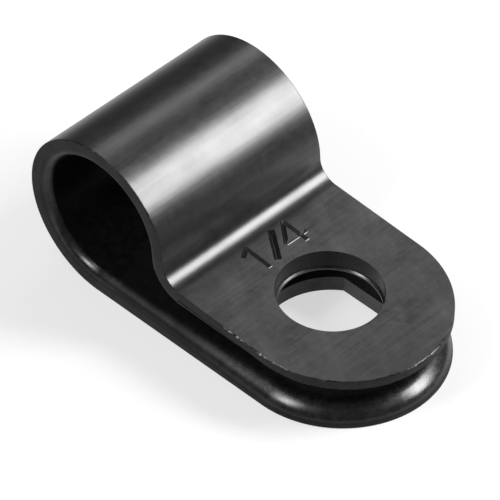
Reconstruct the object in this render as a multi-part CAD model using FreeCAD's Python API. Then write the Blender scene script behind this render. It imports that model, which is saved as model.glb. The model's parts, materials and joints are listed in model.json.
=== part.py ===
import FreeCAD
import Part
import math
import os

# P clip for a quarter inch cable, moulded in one piece: a loop for the cable and two tongues with screw holes.
# Millimetres. The lower tongue lies flat on z = 0, the loop's axis is along Y at x = 0, the tongues point along +X.

# The strap that the whole clip is made of
strap_width = 10.0
strap_thickness = 1.0
side_flat = 0.45            # height of the flat side; the rest of the thickness is the rounded inner edge

# The loop
bore_diameter = 6.35
throat_radius = 1.0         # hollow fillet outside, between the loop and the upper tongue

# The two tongues
tongue_reach = 15.33        # from the loop's axis to the half round ends
upper_tilt = 2.73           # degrees that the upper tongue leans down to its end
end_gap = 0.82              # height of the open gap between the tongues' tips

# The screw holes, placed from the loop's axis
upper_hole_x = 9.62
upper_hole_diameter = 4.95
upper_hole_edge_radius = 0.1
lower_hole_x = 9.84
lower_hole_length = 6.49
lower_hole_width = 5.3
lower_hole_edge_chamfer = 0.2

# Worked out from the values above
bore_radius = bore_diameter / 2
loop_radius = bore_radius + strap_thickness
shoulder_radius = throat_radius + strap_thickness
inner_edge_radius = strap_thickness - side_flat
half_width = strap_width / 2
tilt = math.radians(upper_tilt)
tip_underside_z = strap_thickness + end_gap
top_z = 2 * loop_radius
cut_margin = 1.0
tolerance = 1e-4
far_x = tongue_reach + cut_margin


def in_profile(x, z):
    """Point of the strap's side profile, which lies in the XZ plane."""
    return FreeCAD.Vector(x, 0, z)


def in_plan(x, y):
    """Point seen from above."""
    return FreeCAD.Vector(x, y, 0)


def upper_line(x, depth):
    """Height of the line that runs inside the upper tongue, depth below its outer face, at x."""
    return tip_underside_z + (tongue_reach - x) * math.tan(tilt) + (strap_thickness - depth) / math.cos(tilt)


def throat_arc(loop_side_radius, radius, depth):
    """Arc of the given radius from a circle about the loop's axis to the upper tongue's line at depth.

    Gives where it leaves the circle, its middle and where it meets the line.
    """
    reach = loop_side_radius + radius
    drop = upper_line(0, depth) - loop_radius
    rise = (drop * math.cos(tilt) + radius) / reach
    angle = math.asin(rise) - tilt
    centre_x = reach * math.cos(angle)
    centre_z = loop_radius + reach * math.sin(angle)
    start = angle + math.pi
    end = 1.5 * math.pi - tilt
    points = []
    for turn in (start, (start + end) / 2, end):
        points.append(in_profile(centre_x + radius * math.cos(turn), centre_z + radius * math.sin(turn)))
    return points


def loop_arc(radius, first, last):
    """Arc round the back of the loop, from the first point to the last."""
    return Part.Arc(first, in_profile(-radius, loop_radius), last).toShape()


def outer_profile():
    """Outer side of the strap's profile, from the lower tongue round the loop to the upper tongue."""
    leave, middle, meet = throat_arc(loop_radius, throat_radius, 0)
    foot = in_profile(0, 0)
    return [
        Part.LineSegment(in_profile(far_x, 0), foot).toShape(),
        loop_arc(loop_radius, foot, leave),
        Part.Arc(leave, middle, meet).toShape(),
        Part.LineSegment(meet, in_profile(far_x, upper_line(far_x, 0))).toShape(),
    ]


def inner_profile():
    """Inner side of the strap's profile, from the upper tongue round the bore to the lower tongue."""
    leave, middle, meet = throat_arc(bore_radius, shoulder_radius, strap_thickness)
    foot = in_profile(0, strap_thickness)
    return [
        Part.LineSegment(in_profile(far_x, upper_line(far_x, strap_thickness)), meet).toShape(),
        Part.Arc(meet, middle, leave).toShape(),
        loop_arc(bore_radius, leave, foot),
        Part.LineSegment(foot, in_profile(far_x, strap_thickness)).toShape(),
    ]


def strap_profile():
    """Closed side profile of the strap."""
    upper_end = Part.LineSegment(in_profile(far_x, upper_line(far_x, 0)),
                                 in_profile(far_x, upper_line(far_x, strap_thickness))).toShape()
    lower_end = Part.LineSegment(in_profile(far_x, strap_thickness), in_profile(far_x, 0)).toShape()
    return Part.Wire(outer_profile() + [upper_end] + inner_profile() + [lower_end])


def plan_bound():
    """Upright body with the clip's outline seen from above: straight sides and a half round end."""
    back = -loop_radius - cut_margin
    centre = tongue_reach - half_width
    outline = Part.Wire([
        Part.LineSegment(in_plan(centre, -half_width), in_plan(back, -half_width)).toShape(),
        Part.LineSegment(in_plan(back, -half_width), in_plan(back, half_width)).toShape(),
        Part.LineSegment(in_plan(back, half_width), in_plan(centre, half_width)).toShape(),
        Part.Arc(in_plan(centre, half_width), in_plan(tongue_reach, 0), in_plan(centre, -half_width)).toShape(),
    ])
    face = Part.Face(outline)
    face.translate(FreeCAD.Vector(0, 0, -cut_margin))
    return face.extrude(FreeCAD.Vector(0, 0, top_z + 2 * cut_margin))


def bent_strap():
    """The strap bent to its profile, with both tongues cut to their half round ends."""
    face = Part.Face(strap_profile())
    face.translate(FreeCAD.Vector(0, -half_width, 0))
    strap = face.extrude(FreeCAD.Vector(0, strap_width, 0))
    return strap.common(plan_bound()).removeSplitter()


def inner_rim(body):
    """Edges where the strap's inner face meets its sides and its ends."""
    inner_face = Part.Wire(inner_profile())
    rim = []
    for edge in body.Edges:
        points = edge.discretize(7)
        seam = abs(points[0].x - points[3].x) < tolerance and abs(points[0].z - points[3].z) < tolerance
        gaps = [Part.Vertex(in_profile(p.x, p.z)).distToShape(inner_face)[0] for p in points]
        if not seam and max(gaps) < tolerance:
            rim.append(edge)
    return rim


def round_inner_edges(body):
    """Rounds the inner edges all round, which gives the strap its D section."""
    return body.makeFillet(inner_edge_radius, inner_rim(body))


def upper_hole_tool():
    """Round hole in the upper tongue."""
    bottom = strap_thickness + end_gap / 2
    return Part.makeCylinder(upper_hole_diameter / 2, top_z - bottom, FreeCAD.Vector(upper_hole_x, 0, bottom))


def lower_hole_outline(extra):
    """Outline of the lower hole: two round ends and two flat sides, widened by extra all round."""
    radius = lower_hole_length / 2 + extra
    flat = lower_hole_width / 2 + extra
    run = math.sqrt(radius ** 2 - flat ** 2)
    left, right = lower_hole_x - run, lower_hole_x + run
    return Part.Wire([
        Part.Arc(in_plan(left, flat), in_plan(lower_hole_x - radius, 0), in_plan(left, -flat)).toShape(),
        Part.LineSegment(in_plan(left, -flat), in_plan(right, -flat)).toShape(),
        Part.Arc(in_plan(right, -flat), in_plan(lower_hole_x + radius, 0), in_plan(right, flat)).toShape(),
        Part.LineSegment(in_plan(right, flat), in_plan(left, flat)).toShape(),
    ])


def lower_hole_tool():
    """Hole in the lower tongue, with a small chamfer at its lower rim."""
    top = strap_thickness + end_gap / 2
    straight = Part.Face(lower_hole_outline(0)).extrude(FreeCAD.Vector(0, 0, top + cut_margin))
    straight.translate(FreeCAD.Vector(0, 0, -cut_margin))
    wide = lower_hole_outline(lower_hole_edge_chamfer)
    narrow = lower_hole_outline(0)
    narrow.translate(FreeCAD.Vector(0, 0, lower_hole_edge_chamfer))
    chamfer = Part.makeLoft([wide, narrow], True)
    return straight.fuse(chamfer)


def round_hole_rim(body):
    """Rounds the lower rim of the upper hole."""
    rim = []
    for edge in body.Edges:
        points = edge.discretize(7)
        on_wall = all(abs(math.hypot(p.x - upper_hole_x, p.y) - upper_hole_diameter / 2) < tolerance for p in points)
        level = all(abs(p.z - upper_line(p.x, strap_thickness)) < tolerance for p in points)
        if on_wall and level:
            rim.append(edge)
    return body.makeFillet(upper_hole_edge_radius, rim)


def p_clip():
    """The whole clip."""
    body = round_inner_edges(bent_strap())
    body = body.cut(upper_hole_tool())
    body = body.cut(lower_hole_tool())
    return round_hole_rim(body)


os.makedirs("parts", exist_ok=True)
clip = p_clip()
clip.exportStep("parts/p_clip.step")
print("solids", len(clip.Solids), "valid", clip.isValid(), "volume mm3", round(clip.Volume, 2))
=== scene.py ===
import json
import math
import bmesh
import bpy
from mathutils import Matrix, Vector, noise


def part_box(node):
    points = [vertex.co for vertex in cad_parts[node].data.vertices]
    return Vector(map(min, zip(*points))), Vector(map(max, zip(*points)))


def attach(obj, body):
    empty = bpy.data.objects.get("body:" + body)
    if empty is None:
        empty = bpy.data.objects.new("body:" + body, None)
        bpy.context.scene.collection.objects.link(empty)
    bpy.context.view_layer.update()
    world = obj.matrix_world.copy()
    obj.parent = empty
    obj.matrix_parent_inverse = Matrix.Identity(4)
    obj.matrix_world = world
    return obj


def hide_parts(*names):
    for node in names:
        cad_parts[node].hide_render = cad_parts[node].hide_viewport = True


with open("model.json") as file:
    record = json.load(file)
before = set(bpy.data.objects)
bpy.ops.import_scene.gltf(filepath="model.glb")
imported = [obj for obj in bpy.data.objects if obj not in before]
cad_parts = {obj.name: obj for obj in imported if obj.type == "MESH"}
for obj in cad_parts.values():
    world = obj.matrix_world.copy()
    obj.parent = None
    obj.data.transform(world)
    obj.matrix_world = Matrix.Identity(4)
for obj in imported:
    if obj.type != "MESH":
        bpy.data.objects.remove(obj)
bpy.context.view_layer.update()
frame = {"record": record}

MM = 0.001

# The clip's own sizes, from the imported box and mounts
low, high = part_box("p_clip")
mounts = {mount["name"]: mount for mount in frame["record"]["mounts"]}
seat_mount = mounts["screw_head_seat"]
upper_hole_mount = mounts["upper_screw_hole"]

loop_radius = -low.x
bore_radius = mounts["cable_loop"]["dims"]["r_mm"] * MM
half_width = high.y
thickness = loop_radius - bore_radius
end_centre = high.x - half_width        # where the tongues' half round ends start
seat = Vector(seat_mount["pos_m"])
tilt = math.atan2(seat_mount["axis"][0], seat_mount["axis"][2])
tongue_run = Vector((math.cos(tilt), 0, -math.sin(tilt)))       # the way the upper tongue points

# The strap's D section; each rounding is its depth through the strap and its reach across it
side_flat = 0.45 * MM
inner_edge_radius = thickness - side_flat
inner_edge_steps = 12
outer_edge_break = 0.035 * MM
outer_edge_steps = 2
edge_rounding = (inner_edge_radius, inner_edge_radius)
lower_end_rounding = (0.95 * MM, 1.25 * MM)     # the rounding grows to these towards the tongues' ends
upper_end_rounding = (0.85 * MM, 0.85 * MM)
end_edge_start = 3.0 * MM       # where it starts to grow on the lower tongue

# The throat between the loop and the upper tongue
throat_radius = 1.0 * MM

# Steps round each bend
loop_steps = 150
throat_steps = 40
end_steps = 90
hole_steps = 128
hole_lip_steps = 6

# The upper screw hole, with the thin ring of flash at its lower rim
upper_hole_x = upper_hole_mount["pos_m"][0]
upper_hole_radius = upper_hole_mount["dims"]["r_mm"] * MM
upper_hole_lip = 0.1 * MM
cut_below = 0.2 * MM            # how far the cutter runs past the tongue's underside and its top
cut_above = 0.3 * MM
hole_flash_inward = 0.075 * MM
hole_flash_outward = 0.15 * MM
hole_flash_down = 0.07 * MM
hole_flash_slope = 0.06 * MM

# The lower screw hole
lower_hole_x = mounts["lower_screw_hole"]["pos_m"][0]
lower_hole_length = 6.49 * MM
lower_hole_width = 5.3 * MM
lower_hole_chamfer = 0.2 * MM
tongue_gap_middle = thickness + 0.41 * MM

# Points closer than weld are merged, and faces closer than same_area in area count alike in the shading
weld = 0.0005 * MM
same_area = 0.01 * MM * MM
crisp_from = 20                 # degrees from which an edge stays crisp

# The size mark: each stroke as start, end and width, in millimetres from the loop's axis on the upper tongue
mark_strokes = {
    "one_flag": ((5.50, -1.27), (5.24, -0.87), 0.21),
    "one_stem": ((5.27, -0.85), (6.65, -0.88), 0.23),
    "slash": ((5.30, 0.69), (6.53, -0.19), 0.33),
    "four_slope": ((5.20, 1.50), (6.16, 0.73), 0.20),
    "four_stem": ((5.22, 1.56), (6.58, 1.55), 0.24),
    "four_bar": ((6.23, 0.74), (6.25, 1.83), 0.20),
}
mark_depth_share = 0.55         # depth of a groove and width of its floor, as shares of the stroke's width
mark_floor_share = 0.12
mark_lip_height = 0.02 * MM
mark_lip_slope = 1.2            # how fast the lip narrows with its height
mark_lip_shift = 0.045          # millimetres that the raised lip stands towards the tip

# Flash left by the mould: where it runs, and how full it is there
flash_on_near_edge = (8.0, 10.33)       # millimetres from the loop's axis
near_edge_fullness = 0.6
flash_round_end = (-90, 30)             # degrees round the upper tongue's end
end_fullness = 0.35
flash_on_rim = (36, 108)                # degrees round the loop's front rim
rim_fullness = 0.25
flash_height = 0.065 * MM
flash_step = 0.04 * MM
flash_block_share = 0.7                 # half a side of the flash's square section, as a share of its height
flash_fine = 3500                       # how fine its small and its broad unevenness are
flash_broad = 1100
flash_broad_shift = Vector((7, 3, 5))   # keeps the two apart
flash_least = 0.12                      # least swelling, and the most past its fullness
flash_most = 0.5

# The finishes of the faces
small_part = 0.3                # a smaller part of a face's normal counts as none
nearly_whole = 0.99             # a larger part counts as all of it
skin_slack = 0.02 * MM          # how far a face may be off the strap's faces, and off a hole's wall or the top
wall_slack = 0.01 * MM
side_reach = 0.15 * MM
facing_side = (0.85, 0.97)      # how squarely a face points sideways to count as flat side, none and fully
lower_wall_dimness = 0.5        # the lower hole's wall, where the bore and the upper hole's wall are 1

# Where the outer skin is duller, in millimetres from the loop's axis: over the back, in the throat and at its foot
dull_back = (-2.0, -0.8)
dull_throat = (3.6, 3.9, 4.28, 4.42)
dull_foot = (4.56, 4.72, 5.0, 5.3)

# Where the rounded edges are rubbed shinier: towards the tongues' ends, and under the loop up to a height
rubbed_end = (5.5, 9.0)
rubbed_bend = (0.5, 1.5)
rubbed_bend_height = (1.5, 3.0)

# The nylon
nylon_ior = 1.53
nylon_dark = (0.006, 0.006, 0.0064, 1)
nylon_pale = (0.012, 0.012, 0.0125, 1)
bump_depth = 0.0009 * MM
grain_share = 0.06              # of the bump, beside the fine and the broad lines
fine_lines_share = 0.8
broad_lines_share = 1.2

# How much light each finish throws back, as specular levels
plain_level = 0.9
skin_level = 0.95
edge_level = 0.38
side_level = 0.22
rubbed_gain = 0.37
inside_share = 0.2
tongue_loss = -0.22
dull_loss = -0.3

# How far streaks, mottling and cloud swing that level, and how strongly on each finish
streak_swing = 0.13
mottle_swing = 0.13
cloud_swing = 0.22
uneven_off_skin = 0.8
uneven_on_skin = 0.55
uneven_on_tongue = 0.45         # added on the upper tongue's top

# Roughness, and what each finish adds to it
skin_roughness = (0.30, 0.33)
mottle_roughness = 0.03
side_roughness = 0.2
tongue_roughness = 0.05
off_skin_roughness = 0.04
rubbed_roughness = (-0.12, -0.08)

# Scuffs and two ways of scratches on the upper tongue: how they run, in degrees from the way it points, over which
# span of the noise they show, and how strongly
scuff_turn = -26
scuff_span = (0.5, 0.72)
scuff_strength = 0.3
scratch_span = (0.64, 0.74)
cross_turn = 38
cross_span = (0.66, 0.78)
scratch_strength = 0.2

# The range that noise mostly keeps to, and its middle part
noise_range = (0.3, 0.7)
noise_middle = (0.35, 0.65)

# The studio
clip_middle = Vector((5.0, 0, 3.0)) * MM
lamp_distance = 0.2             # metres
surround = 0.095                # grey of the world
floor_half_size = 3.0           # metres
floor_drop = 0.01 * MM          # keeps it clear of the clip's base
floor_glow = 0.62
floor_colour = 0.4
floor_roughness = 0.9
# Painted pool of light: the floor's colour and glow are full near the clip and fall to a share of that far from it
painted_falloff_span = (22, 48)           # millimetres from the clip between which the floor fades
painted_falloff_far = 0.33


def top_height(x):
    """Height of the upper tongue's top face at x."""
    return seat.z - (x - seat.x) * math.tan(tilt)


def underside_height(x):
    """Height of the upper tongue's underside at x."""
    return top_height(x) - thickness / math.cos(tilt)


def lean(verts, level_at):
    """Leans points that were made level at an x to the upper tongue's slope."""
    for vert in verts:
        vert.co.z -= (vert.co.x - level_at) * math.tan(tilt)


def throat_place():
    """Centre of the throat's bend, and how far the loop and the throat turn."""
    reach = loop_radius + throat_radius
    drop = top_height(0) - loop_radius
    rise = (drop * math.cos(tilt) + throat_radius) / reach
    leave = math.asin(rise) - tilt
    centre = Vector((reach * math.cos(leave), 0, loop_radius + reach * math.sin(leave)))
    return centre, 1.5 * math.pi - leave, 0.5 * math.pi - tilt - leave


def parts_of(kind, made):
    """The points, edges or faces among what an operator made."""
    return [item for item in made if isinstance(item, kind)]


def points_of(edges):
    """All points of the edges."""
    return {vert for edge in edges for vert in edge.verts}


def clean(bm):
    """Merges doubled points and turns all faces outward."""
    bmesh.ops.remove_doubles(bm, verts=bm.verts[:], dist=weld)
    bmesh.ops.recalc_face_normals(bm, faces=bm.faces[:])


def mesh_object(name, bm):
    """Blender object with the mesh."""
    mesh = bpy.data.meshes.new(name)
    bm.to_mesh(mesh)
    bm.free()
    piece = bpy.data.objects.new(name, mesh)
    bpy.context.collection.objects.link(piece)
    return piece


def section(bm):
    """The strap's D section, across the lower tongue where its round end starts.

    It has a flat outer face, flat sides and round inner edges.
    """
    middle = thickness / 2
    place = Matrix.Translation((end_centre, 0, middle)) @ Matrix.Rotation(math.pi / 2, 4, "Y")
    made = bmesh.ops.create_grid(bm, x_segments=1, y_segments=1, size=0.5, matrix=place)
    for vert in made["verts"]:
        vert.co.y = math.copysign(half_width, vert.co.y)
        vert.co.z = thickness if vert.co.z > middle else 0.0
    inner = [vert for vert in bm.verts if vert.co.z > middle]
    outer = [vert for vert in bm.verts if vert.co.z < middle]
    for corners, radius, steps in ((inner, inner_edge_radius, inner_edge_steps),
                                   (outer, outer_edge_break, outer_edge_steps)):
        bmesh.ops.bevel(bm, geom=corners, offset=radius, segments=steps, profile=0.5, affect="VERTICES",
                        material=-1)
    bmesh.ops.delete(bm, geom=bm.faces[:], context="FACES_ONLY")
    return bm.edges[:]


def rounding_changed(verts, inner_height, outward, old, new):
    """Changes a section's rounded inner edges from old to new.

    Outward is 1 or -1, the way up or down from its inner to its outer face.
    """
    for vert in verts:
        depth = (vert.co.z - inner_height) * outward
        across = half_width - abs(vert.co.y)
        if depth < old[0] + weld and across < old[1] + weld:
            vert.co.z = inner_height + outward * depth * new[0] / old[0]
            vert.co.y = math.copysign(half_width - across * new[1] / old[1], vert.co.y)


def moved_on(bm, edges, shift):
    """Draws the section on in a straight line and gives its new edges."""
    made = bmesh.ops.extrude_edge_only(bm, edges=edges)["geom"]
    bmesh.ops.translate(bm, verts=parts_of(bmesh.types.BMVert, made), vec=shift)
    return parts_of(bmesh.types.BMEdge, made)


def bent_on(bm, edges, centre, axis, angle, steps):
    """Draws the section on round a bend and gives its new edges."""
    made = bmesh.ops.spin(bm, geom=edges, cent=centre, axis=axis, angle=angle, steps=steps)
    return parts_of(bmesh.types.BMEdge, made["geom_last"])


def round_end(bm, edges):
    """Half round end of a tongue, from the half of its last section on the +Y side."""
    centre = sum((vert.co for edge in edges for vert in edge.verts), Vector()) / (2 * len(edges))
    half = [edge for edge in edges if min(vert.co.y for vert in edge.verts) > 0]
    bent_on(bm, half, centre, (0, 0, 1), -math.pi, end_steps)


def strap(bm):
    """The whole strap: lower tongue, loop, throat and upper tongue."""
    across = (0, 1, 0)
    throat_centre, loop_turn, throat_turn = throat_place()
    lower_end = section(bm)
    rounding_changed(points_of(lower_end), thickness, -1, edge_rounding, lower_end_rounding)
    edges = moved_on(bm, lower_end, (end_edge_start - end_centre, 0, 0))
    rounding_changed(points_of(edges), thickness, -1, lower_end_rounding, edge_rounding)
    edges = moved_on(bm, edges, (-end_edge_start, 0, 0))
    edges = bent_on(bm, edges, (0, 0, loop_radius), across, loop_turn, loop_steps)
    edges = bent_on(bm, edges, throat_centre, across, -throat_turn, throat_steps)
    # The last section slides along the upper tongue until it stands upright where the round end starts
    upper_end = moved_on(bm, edges, (0, 0, 0))
    for vert in points_of(upper_end):
        vert.co += tongue_run * ((end_centre - vert.co.x) / tongue_run.x)
    rounding_changed(points_of(upper_end), underside_height(end_centre), 1, edge_rounding, upper_end_rounding)
    round_end(bm, lower_end)
    before = set(bm.verts)
    round_end(bm, upper_end)
    lean([vert for vert in bm.verts if vert not in before], end_centre)
    # The flats of the two round ends are still open
    bmesh.ops.remove_doubles(bm, verts=bm.verts[:], dist=weld)
    bmesh.ops.holes_fill(bm, edges=[edge for edge in bm.edges if edge.is_boundary])
    clean(bm)


def spun_at_upper_hole(name, profile, closed):
    """Piece spun from (radius, height) points about the upper hole's axis, leaning with the tongue."""
    bm = bmesh.new()
    verts = [bm.verts.new((upper_hole_x + radius, 0, height)) for radius, height in profile]
    following = verts[1:] + verts[:1] if closed else verts[1:]
    chain = [bm.edges.new(pair) for pair in zip(verts, following)]
    bmesh.ops.spin(bm, geom=verts + chain, cent=(upper_hole_x, 0, 0), axis=(0, 0, 1), angle=2 * math.pi,
                   steps=hole_steps, use_merge=True)
    clean(bm)
    piece = mesh_object(name, bm)
    lean(piece.data.vertices, upper_hole_x)
    return piece


def upper_hole_cutter():
    """Straight hole with a rounded lower rim."""
    under = underside_height(upper_hole_x)
    bottom = under - cut_below
    top = top_height(upper_hole_x) + cut_above
    profile = [(0.0, bottom), (upper_hole_radius + 3 * upper_hole_lip, bottom)]
    for step in range(hole_lip_steps + 1):
        turn = math.pi / 2 * step / hole_lip_steps
        profile.append((upper_hole_radius + upper_hole_lip * (1 - math.sin(turn)),
                        under + upper_hole_lip * (1 - math.cos(turn))))
    profile += [(upper_hole_radius, top), (0.0, top)]
    return spun_at_upper_hole("upper_hole_cutter", profile, closed=False)


def upper_hole_flash():
    """Thin ring of flash at the upper hole's lower rim, with a sloped upper side."""
    under = underside_height(upper_hole_x)
    inner = upper_hole_radius - hole_flash_inward
    outer = upper_hole_radius + hole_flash_outward
    bottom = under - hole_flash_down
    profile = [(inner, bottom), (inner, under), (upper_hole_radius, under + hole_flash_slope),
               (outer, under + hole_flash_slope), (outer, bottom)]
    return spun_at_upper_hole("upper_hole_flash", profile, closed=True)


def lower_hole_level(bm, height, extra):
    """One level of the lower hole's outline, a circle with two flat sides, widened by extra. Gives its edges."""
    place = Matrix.Translation((lower_hole_x, 0, height))
    made = bmesh.ops.create_circle(bm, cap_ends=True, radius=lower_hole_length / 2 + extra, segments=hole_steps,
                                   matrix=place)
    verts = made["verts"]
    for side in (1, -1):
        faces = list(dict.fromkeys(face for vert in verts for face in vert.link_faces))
        edges = [edge for face in faces for edge in face.edges]
        bmesh.ops.bisect_plane(bm, geom=list(dict.fromkeys(faces + edges + list(verts))), dist=weld,
                               plane_co=(0, side * (lower_hole_width / 2 + extra), 0), plane_no=(0, side, 0),
                               clear_outer=True)
        verts = [vert for vert in bm.verts if abs(vert.co.z - height) < weld]
    return [edge for edge in bm.edges if all(abs(vert.co.z - height) < weld for vert in edge.verts)]


def lower_hole_cutter():
    """Hole with round ends and flat sides, widened by a chamfer at its lower rim."""
    bm = bmesh.new()
    levels = [(-lower_hole_chamfer, 2 * lower_hole_chamfer), (lower_hole_chamfer, 0.0), (tongue_gap_middle, 0.0)]
    rings = [lower_hole_level(bm, height, extra) for height, extra in levels]
    for below, above in zip(rings, rings[1:]):
        bmesh.ops.bridge_loops(bm, edges=below + above)
    inside = [face for face in bm.faces
              if all(abs(vert.co.z - lower_hole_chamfer) < weld for vert in face.verts)]
    bmesh.ops.delete(bm, geom=inside, context="FACES_ONLY")
    clean(bm)
    return mesh_object("lower_hole_cutter", bm)


def stroke_block(name, start, end, width, under, over, slope):
    """Tapered block along one stroke of the mark, from under to over the upper tongue's top face."""
    start, end = Vector(start) * MM, Vector(end) * MM
    along = end - start
    middle = (start + end) / 2
    bm = bmesh.new()
    made = bmesh.ops.create_cube(bm, size=1.0)["verts"]
    upper = [vert for vert in made if vert.co.z > 0]
    lower = [vert for vert in made if vert.co.z < 0]
    for level, chosen in ((over, upper), (-under, lower)):
        grow = 2 * slope * level
        bmesh.ops.scale(bm, verts=chosen, vec=(along.length + width * MM + grow, width * MM + grow, 0))
        bmesh.ops.translate(bm, verts=chosen, vec=(0, 0, level))
    turn = Matrix.Rotation(math.atan2(along.y, along.x), 4, "Z")
    bmesh.ops.transform(bm, matrix=Matrix.Translation((middle.x, middle.y, 0)) @ turn, verts=made)
    for vert in made:
        vert.co.z += top_height(vert.co.x)
    bmesh.ops.recalc_face_normals(bm, faces=bm.faces[:])
    return mesh_object(name, bm)


def mark_lips():
    """Low raised lip at the tip side of each stroke of the mark."""
    lips = []
    for name, (start, end, width) in mark_strokes.items():
        start, end = [(x + mark_lip_shift, y) for x, y in (start, end)]
        lips.append(stroke_block("lip_" + name, start, end, width, mark_lip_height, mark_lip_height,
                                 -mark_lip_slope))
    return lips


def mark_cutters():
    """One V shaped cutter for each stroke of the mark."""
    slope = (1 - mark_floor_share) / 2 / mark_depth_share
    return [stroke_block("mark_" + name, start, end, width, mark_depth_share * width * MM, mark_lip_height * 2, slope)
            for name, (start, end, width) in mark_strokes.items()]


def flash_ridge(name, first, steps, drawn_on, fullness):
    """Thin uneven ridge along an edge: a small square drawn on step by step, then swollen and shrunk."""
    bm = bmesh.new()
    place = Matrix.Translation(first) @ Matrix.Rotation(math.pi / 2, 4, "Y") @ Matrix.Rotation(math.pi / 4, 4, "Z")
    made = bmesh.ops.create_grid(bm, x_segments=1, y_segments=1, size=flash_height * flash_block_share, matrix=place)
    rings = [made["verts"]]
    last = bm.faces[:]
    for step in range(steps):
        made = bmesh.ops.extrude_face_region(bm, geom=last)["geom"]
        if step:
            bmesh.ops.delete(bm, geom=last, context="FACES_ONLY")
        last = parts_of(bmesh.types.BMFace, made)
        rings.append(parts_of(bmesh.types.BMVert, made))
        drawn_on(bm, rings[-1])
    for ring in rings:
        middle = sum((vert.co for vert in ring), Vector()) / len(ring)
        fine = noise.noise(middle * flash_fine)
        broad = noise.noise(middle * flash_broad + flash_broad_shift)
        swelling = min(max(flash_least, fullness + fine + broad), fullness + flash_most)
        for vert in ring:
            vert.co = middle + (vert.co - middle) * swelling
    bmesh.ops.recalc_face_normals(bm, faces=bm.faces[:])
    return mesh_object(name, bm)


def straight_flash(name, reach, fullness):
    """Ridge of flash along the upper tongue's near edge."""
    start, end = [x * MM for x in reach]
    steps = round((end - start) / flash_step)
    stride = tongue_run * ((end - start) / tongue_run.x / steps)

    def along_edge(bm, ring):
        bmesh.ops.translate(bm, verts=ring, vec=stride)
    return flash_ridge(name, Vector((start, -half_width, top_height(start))), steps, along_edge, fullness)


def round_flash(name, first, centre, axis, radius, angles, fullness):
    """Ridge of flash drawn on from its first place round a centre."""
    whole_turn = math.radians(angles[1]) - math.radians(angles[0])
    steps = round(whole_turn * radius / flash_step)
    turn = Matrix.Rotation(whole_turn / steps, 3, axis)

    def round_centre(bm, ring):
        bmesh.ops.rotate(bm, verts=ring, cent=centre, matrix=turn)
    return flash_ridge(name, first, steps, round_centre, fullness)


def flash():
    """Ridges of flash on the upper tongue's near edge and round its end, and on the loop's front rim."""
    near = straight_flash("flash_on_near_edge", flash_on_near_edge, near_edge_fullness)

    end_start = Vector((end_centre, -half_width, top_height(end_centre)))
    tip = round_flash("flash_round_end", end_start, (end_centre, 0, 0), "Z", half_width, flash_round_end,
                      end_fullness)
    lean(tip.data.vertices, end_centre)

    rim = round_flash("flash_on_rim", Vector((0, -half_width, 2 * loop_radius)), (0, 0, loop_radius), "Y",
                      loop_radius, flash_on_rim, rim_fullness)
    back = Matrix.Rotation(math.pi / 2 - math.radians(flash_on_rim[1]), 4, "Y")
    up = Matrix.Translation((0, 0, loop_radius))
    rim.data.transform(up @ back @ up.inverted())
    return [near, tip, rim]


def combine(piece, lips, cutters, late_lips):
    """Adds the lips to the piece, cuts the cutters out of it, adds the late lips, and removes them all."""
    others = lips + cutters + late_lips
    for other in others:
        change = piece.modifiers.new("combine", "BOOLEAN")
        change.operation = "DIFFERENCE" if other in cutters else "UNION"
        change.solver = "MANIFOLD"
        change.object = other
    graph = bpy.context.evaluated_depsgraph_get()
    mesh = bpy.data.meshes.new_from_object(piece.evaluated_get(graph))
    piece.modifiers.clear()
    piece.data = mesh
    mesh.name = piece.name
    for other in others:
        bpy.data.objects.remove(other)


def on_outer_skin(point, throat_centre):
    """Whether a point is on the strap's outer face: round the loop, in the throat, or on the flat of a tongue."""
    from_loop = math.hypot(point.x, point.z - loop_radius)
    from_throat = math.hypot(point.x - throat_centre.x, point.z - throat_centre.z)
    loop = abs(from_loop - loop_radius) < skin_slack
    throat = abs(from_throat - throat_radius) < skin_slack and point.z < throat_centre.z
    upper_tongue = point.x > bore_radius and abs(point.z - top_height(point.x)) < skin_slack
    lower_tongue = abs(point.z) < skin_slack
    return loop or throat or upper_tongue or lower_tongue


def side_share(middle, normal):
    """How much a face is flat side, from 0 to 1."""
    on_end = middle.x > end_centre
    reach = math.hypot(middle.x - end_centre, middle.y) if on_end else abs(middle.y)
    sideways = math.hypot(normal.x, normal.y) if on_end else abs(normal.y)
    share = (sideways - facing_side[0]) / (facing_side[1] - facing_side[0])
    return min(1.0, max(0.0, share)) if reach > half_width - side_reach else 0.0


def inside_share_of(middle, normal):
    """How much a face is a dim inside face, from 0 to 1: the bore and the walls of the two holes."""
    steep = abs(normal.z) < small_part
    from_loop = math.hypot(middle.x, middle.z - loop_radius)
    from_upper_hole = math.hypot(middle.x - upper_hole_x, middle.y)
    from_lower_hole = math.hypot(middle.x - lower_hole_x, middle.y)
    bore = from_loop < bore_radius + skin_slack
    upper_wall = abs(from_upper_hole - upper_hole_radius) < wall_slack and middle.z > tongue_gap_middle
    lower_wall = from_lower_hole < lower_hole_length / 2 + wall_slack and middle.z < thickness
    if bore or upper_wall and steep:
        return 1.0
    return lower_wall_dimness if lower_wall and steep else 0.0


def mark_finishes(piece):
    """Writes how much of each finish a face has, for the material."""
    throat_centre = throat_place()[0]
    finishes = {"outer_skin": [], "flat_side": [], "inside_face": [], "tongue_top": []}
    for face in piece.data.polygons:
        middle, normal = face.center, face.normal
        skin = abs(normal.y) < small_part and on_outer_skin(middle, throat_centre)
        top = abs(middle.z - top_height(middle.x)) < wall_slack and normal.z > nearly_whole
        finishes["outer_skin"].append(float(skin))
        finishes["flat_side"].append(side_share(middle, normal))
        finishes["inside_face"].append(inside_share_of(middle, normal))
        finishes["tongue_top"].append(float(top))
    for name, values in finishes.items():
        piece.data.attributes.new(name, "FLOAT", "FACE").data.foreach_set("value", values)


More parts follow.
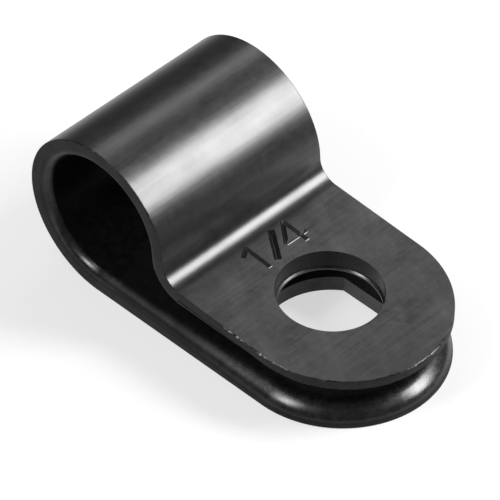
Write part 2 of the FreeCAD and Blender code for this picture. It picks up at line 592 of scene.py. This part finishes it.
def smooth_with_crisp_edges(piece):
    """Smooth shading, with sharp edges kept crisp and flat faces kept flat."""
    piece.data.shade_smooth()
    piece.data.set_sharp_from_angle(angle=math.radians(crisp_from))
    weighted = piece.modifiers.new("flat_faces", "WEIGHTED_NORMAL")
    weighted.keep_sharp = True
    weighted.weight = 100
    weighted.thresh = same_area


class Nodes:
    """Makes and links the nodes of one new material."""

    def __init__(self, name):
        self.material = bpy.data.materials.new(name)
        self.material.use_nodes = True
        self.tree = self.material.node_tree
        self.shader = self.tree.nodes["Principled BSDF"].inputs
        self.position = self.node("ShaderNodeTexCoord").outputs["Object"]

    def node(self, kind, **settings):
        """New node with its settings."""
        made = self.tree.nodes.new(kind)
        for key, value in settings.items():
            setattr(made, key, value)
        return made

    def feed(self, socket, value):
        """Links another node's output to a socket, or sets its value."""
        if isinstance(value, bpy.types.NodeSocket):
            self.tree.links.new(value, socket)
        else:
            socket.default_value = value

    def reckon(self, operation, first, *others):
        """Runs a calculation over the values, one after the other."""
        for other in others:
            made = self.node("ShaderNodeMath", operation=operation)
            self.feed(made.inputs[0], first)
            self.feed(made.inputs[1], other)
            first = made.outputs["Value"]
        return first

    def plus(self, *values):
        """Sum of the values."""
        return self.reckon("ADD", *values)

    def times(self, *values):
        """Product of the values."""
        return self.reckon("MULTIPLY", *values)

    def spread(self, value, span, result, smooth=False):
        """A value's span spread over the result, and held at its ends."""
        made = self.node("ShaderNodeMapRange", interpolation_type="SMOOTHSTEP" if smooth else "LINEAR")
        self.feed(made.inputs["Value"], value)
        for name, number in zip(("From Min", "From Max", "To Min", "To Max"), span + result):
            self.feed(made.inputs[name], number)
        return made.outputs["Result"]

    def between(self, share, none, fully):
        """Goes from none to fully as the share goes from 0 to 1."""
        return self.spread(share, (0.0, 1.0), (none, fully))

    def swing(self, value, strength):
        """Noise that swings about 0 by the strength."""
        return self.spread(value, noise_range, (-strength, strength))

    def fade(self, value, span, result):
        """Soft fade over a span in millimetres."""
        return self.spread(value, (span[0] * MM, span[1] * MM), result, smooth=True)

    def strip(self, value, edges):
        """A strip that fades in over the first two edges and out over the last two, in millimetres."""
        return self.times(self.fade(value, edges[:2], (0.0, 1.0)), self.fade(value, edges[2:], (1.0, 0.0)))

    def mix(self, share, none, fully):
        """Colour between two."""
        made = self.node("ShaderNodeMix", data_type="RGBA")
        for name, value in (("A", none), ("B", fully), ("Factor", share)):
            self.feed(made.inputs[name], value)
        return made.outputs["Result"]

    def noise(self, place, scale, detail, roughness):
        """Noise texture."""
        made = self.node("ShaderNodeTexNoise")
        for name, value in (("Vector", place), ("Scale", scale), ("Detail", detail), ("Roughness", roughness)):
            self.feed(made.inputs[name], value)
        return made.outputs["Fac"]

    def across_strap(self, share):
        """Object position shortened to a share across the strap, which draws a pattern out that way."""
        made = self.node("ShaderNodeMapping")
        self.feed(made.inputs["Vector"], self.position)
        self.feed(made.inputs["Scale"], (1.0, share, 1.0))
        return made.outputs["Vector"]

    def drawn_out(self, turn, length):
        """Object position that draws a pattern out by length, in a direction turned by turn degrees."""
        made = self.node("ShaderNodeMapping", vector_type="TEXTURE")
        self.feed(made.inputs["Vector"], self.position)
        self.feed(made.inputs["Rotation"], (0, 0, math.radians(turn)))
        self.feed(made.inputs["Scale"], (length, 1.0, 1.0))
        return made.outputs["Vector"]

    def finish(self, name):
        """One of the finishes written on the faces."""
        return self.node("ShaderNodeAttribute", attribute_name=name).outputs["Fac"]


def black_nylon():
    """Satin black nylon as moulded: fine lines across the outer skin, duller flat sides, mottled gloss."""
    make = Nodes("black_nylon")
    skin = make.finish("outer_skin")
    side = make.finish("flat_side")
    inside = make.finish("inside_face")
    tongue = make.finish("tongue_top")
    lines = make.noise(make.across_strap(0.02), scale=16000, detail=2.0, roughness=0.5)
    broad_lines = make.noise(make.across_strap(0.04), scale=5500, detail=2.0, roughness=0.5)
    cloud = make.noise(make.across_strap(0.6), scale=750, detail=3.0, roughness=0.5)
    mottle = make.noise(make.position, scale=2600, detail=4.0, roughness=0.6)
    grain = make.noise(make.position, scale=22000, detail=2.0, roughness=0.5)
    axes = make.node("ShaderNodeSeparateXYZ")
    make.feed(axes.inputs["Vector"], make.position)
    x, z = axes.outputs["X"], axes.outputs["Z"]

    # Scuffs and scratches, which show on the upper tongue's top only
    scuffs = make.noise(make.drawn_out(scuff_turn, length=5), scale=800, detail=3.0, roughness=0.6)
    scratches = make.noise(make.drawn_out(scuff_turn, length=40), scale=9000, detail=1.0, roughness=0.5)
    cross = make.noise(make.drawn_out(cross_turn, length=30), scale=8000, detail=1.0, roughness=0.5)
    scratched = make.plus(make.spread(scratches, scratch_span, (0.0, scratch_strength)),
                          make.spread(cross, cross_span, (0.0, scratch_strength)))
    worn = make.plus(make.spread(scuffs, scuff_span, (0.0, scuff_strength), smooth=True), scratched)

    # How uneven the gloss is
    streaks = make.plus(make.swing(lines, streak_swing), make.swing(broad_lines, streak_swing))
    patches = make.plus(make.swing(cloud, cloud_swing), make.swing(mottle, mottle_swing))
    strength = make.plus(make.between(skin, uneven_off_skin, uneven_on_skin), make.times(tongue, uneven_on_tongue))
    uneven = make.plus(make.times(make.plus(streaks, patches), strength), make.times(tongue, worn))

    # Where the skin is duller and where the rounded edges are rubbed shinier
    strips = make.plus(make.strip(x, dull_throat), make.strip(x, dull_foot))
    dull = make.times(skin, make.plus(make.fade(x, dull_back, (1.0, 0.0)), strips))
    under_loop = make.times(make.fade(x, rubbed_bend, (1.0, 0.0)), make.fade(z, rubbed_bend_height, (1.0, 0.0)))
    worn_edges = make.plus(make.fade(x, rubbed_end, (0.0, 1.0)), under_loop)
    rubbed = make.times(worn_edges, make.between(make.plus(skin, side), 1.0, 0.0))

    off_skin = make.plus(make.times(rubbed, rubbed_gain), make.between(side, edge_level, side_level))
    off_skin = make.times(off_skin, make.between(skin, 1.0, 0.0), make.between(inside, 1.0, inside_share))
    level = make.plus(off_skin, make.times(skin, skin_level), make.times(tongue, tongue_loss),
                      make.times(dull, dull_loss))
    gloss = make.plus(make.spread(lines, noise_range, skin_roughness),
                      make.spread(mottle, noise_range, (0.0, mottle_roughness)),
                      make.between(side, 0.0, side_roughness),
                      make.between(tongue, 0.0, tongue_roughness),
                      make.between(skin, off_skin_roughness, 0.0),
                      make.times(rubbed, make.spread(mottle, noise_middle, rubbed_roughness)))

    brushed = make.plus(make.times(lines, fine_lines_share), make.times(broad_lines, broad_lines_share))
    bump = make.node("ShaderNodeBump")
    make.feed(bump.inputs["Strength"], 1.0)
    make.feed(bump.inputs["Distance"], bump_depth)
    make.feed(bump.inputs["Height"], make.plus(make.times(brushed, skin), make.times(grain, grain_share)))

    shader = make.shader
    shader["IOR"].default_value = nylon_ior
    shader["Specular IOR Level"].default_value = plain_level
    make.feed(shader["Specular IOR Level"], make.times(level, make.plus(uneven, 1.0)))
    make.feed(shader["Base Color"], make.mix(make.spread(mottle, noise_range, (0.0, 1.0)), nylon_dark, nylon_pale))
    make.feed(shader["Roughness"], gloss)
    make.feed(shader["Normal"], bump.outputs["Normal"])
    return make.material


def clip_body():
    """The whole clip, with its holes, its size mark and its flash."""
    bm = bmesh.new()
    strap(bm)
    piece = mesh_object("nylon_clip", bm)
    combine(piece, mark_lips() + flash(), [upper_hole_cutter(), lower_hole_cutter()] + mark_cutters(),
            [upper_hole_flash()])
    mark_finishes(piece)
    piece.data.materials.clear()
    piece.data.materials.append(black_nylon())
    smooth_with_crisp_edges(piece)
    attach(piece, "root")
    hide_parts("p_clip")


def pale_floor():
    """Pale floor under the clip, which shows as white near it and keeps its shadow; its colour and glow fall off away
    from the clip, a painted pool of light.
    """
    bm = bmesh.new()
    bmesh.ops.create_grid(bm, x_segments=1, y_segments=1, size=floor_half_size,
                          matrix=Matrix.Translation((0, 0, -floor_drop)))
    floor = mesh_object("floor", bm)
    make = Nodes("pale_floor")
    away = make.node("ShaderNodeVectorMath", operation="DISTANCE")
    make.feed(away.inputs[0], make.position)
    make.feed(away.inputs[1], clip_middle)
    # Painted pool of light: the floor's colour and glow are darkened away from the clip
    near = make.fade(away.outputs["Value"], painted_falloff_span, (1.0, painted_falloff_far))
    rays = make.node("ShaderNodeLightPath").outputs
    seen = make.reckon("MAXIMUM", rays["Is Camera Ray"], rays["Is Glossy Ray"], rays["Is Transmission Ray"])
    shader = make.shader
    shader["Roughness"].default_value = floor_roughness
    shader["Specular IOR Level"].default_value = 0.0
    shader["Emission Color"].default_value = (1, 1, 1, 1)
    make.feed(shader["Base Color"], make.mix(near, (0, 0, 0, 1), (floor_colour, floor_colour, floor_colour, 1)))
    make.feed(shader["Emission Strength"], make.times(seen, floor_glow, near))
    floor.data.materials.append(make.material)


def placed(thing, right, up, back, place):
    """Puts a lamp or the camera at a place, turned by its own three axes."""
    turn = Matrix((right, up, back)).transposed().to_4x4()
    thing.matrix_world = Matrix.Translation(place) @ turn
    bpy.context.collection.objects.link(thing)


def area_lamp(name, toward, along, angles, radiance):
    """Soft rectangular lamp in a direction from the clip.

    Along is the way its long side runs, and angles are its length and width in degrees, as the clip sees them.
    """
    toward = Vector(toward).normalized()
    along = (Vector(along) - toward * Vector(along).dot(toward)).normalized()
    length, width = [2 * lamp_distance * math.tan(math.radians(angle / 2)) for angle in angles]
    lamp = bpy.data.lights.new(name, "AREA")
    lamp.shape = "RECTANGLE"
    lamp.size, lamp.size_y = length, width
    lamp.energy = radiance * math.pi * length * width
    holder = bpy.data.objects.new(name, lamp)
    placed(holder, along, toward.cross(along), toward, clip_middle + toward * lamp_distance)


def studio():
    """Soft studio lamps and a dim surround."""
    area_lamp("right_softbox", toward=(0.525, 0.57, 0.635), along=(0.76, 0.0, -0.65), angles=(34, 16), radiance=18.7)
    area_lamp("rear_softbox", toward=(-0.48, 0.54, 0.69), along=(0.0, 0.8, -0.6), angles=(19, 14), radiance=2.4)
    area_lamp("rear_fill", toward=(-0.10, 0.74, 0.66), along=(1.0, 0.0, 0.0), angles=(36, 18), radiance=1.1)
    area_lamp("front_strip", toward=(-0.18, -0.67, 0.72), along=(0.0, 0.72, 0.69), angles=(20, 11), radiance=15.5)
    area_lamp("upper_strip", toward=(-0.27, -0.22, 0.94), along=(0.1, 0.97, 0.2), angles=(42, 9), radiance=3.1)
    world = bpy.data.worlds.new("surround")
    world.use_nodes = True
    back = world.node_tree.nodes["Background"]
    back.inputs["Color"].default_value = (surround, surround, surround, 1)
    back.inputs["Strength"].default_value = 1.0
    bpy.context.scene.world = world


def camera():
    """Camera at the photograph's viewing angle, for a square frame."""
    frame_pixels = 500
    focal_pixels = 5543.584
    place = Vector((130.0173, -129.1867, 172.3803)) * MM
    right = Vector((0.712223, 0.701905, 0.008205))
    down = Vector((0.486395, -0.485049, -0.726738))
    ahead = Vector((-0.506121, 0.521590, -0.686866))
    data = bpy.data.cameras.new("camera")
    data.sensor_width = 36.0
    data.sensor_fit = "HORIZONTAL"
    data.lens = focal_pixels / frame_pixels * data.sensor_width
    data.clip_start, data.clip_end = 0.01, 10.0
    holder = bpy.data.objects.new("camera", data)
    placed(holder, right, -down, -ahead, place)
    bpy.context.scene.camera = holder


clip_body()
pale_floor()
studio()
camera()
bpy.context.scene.view_settings.view_transform = "Standard"
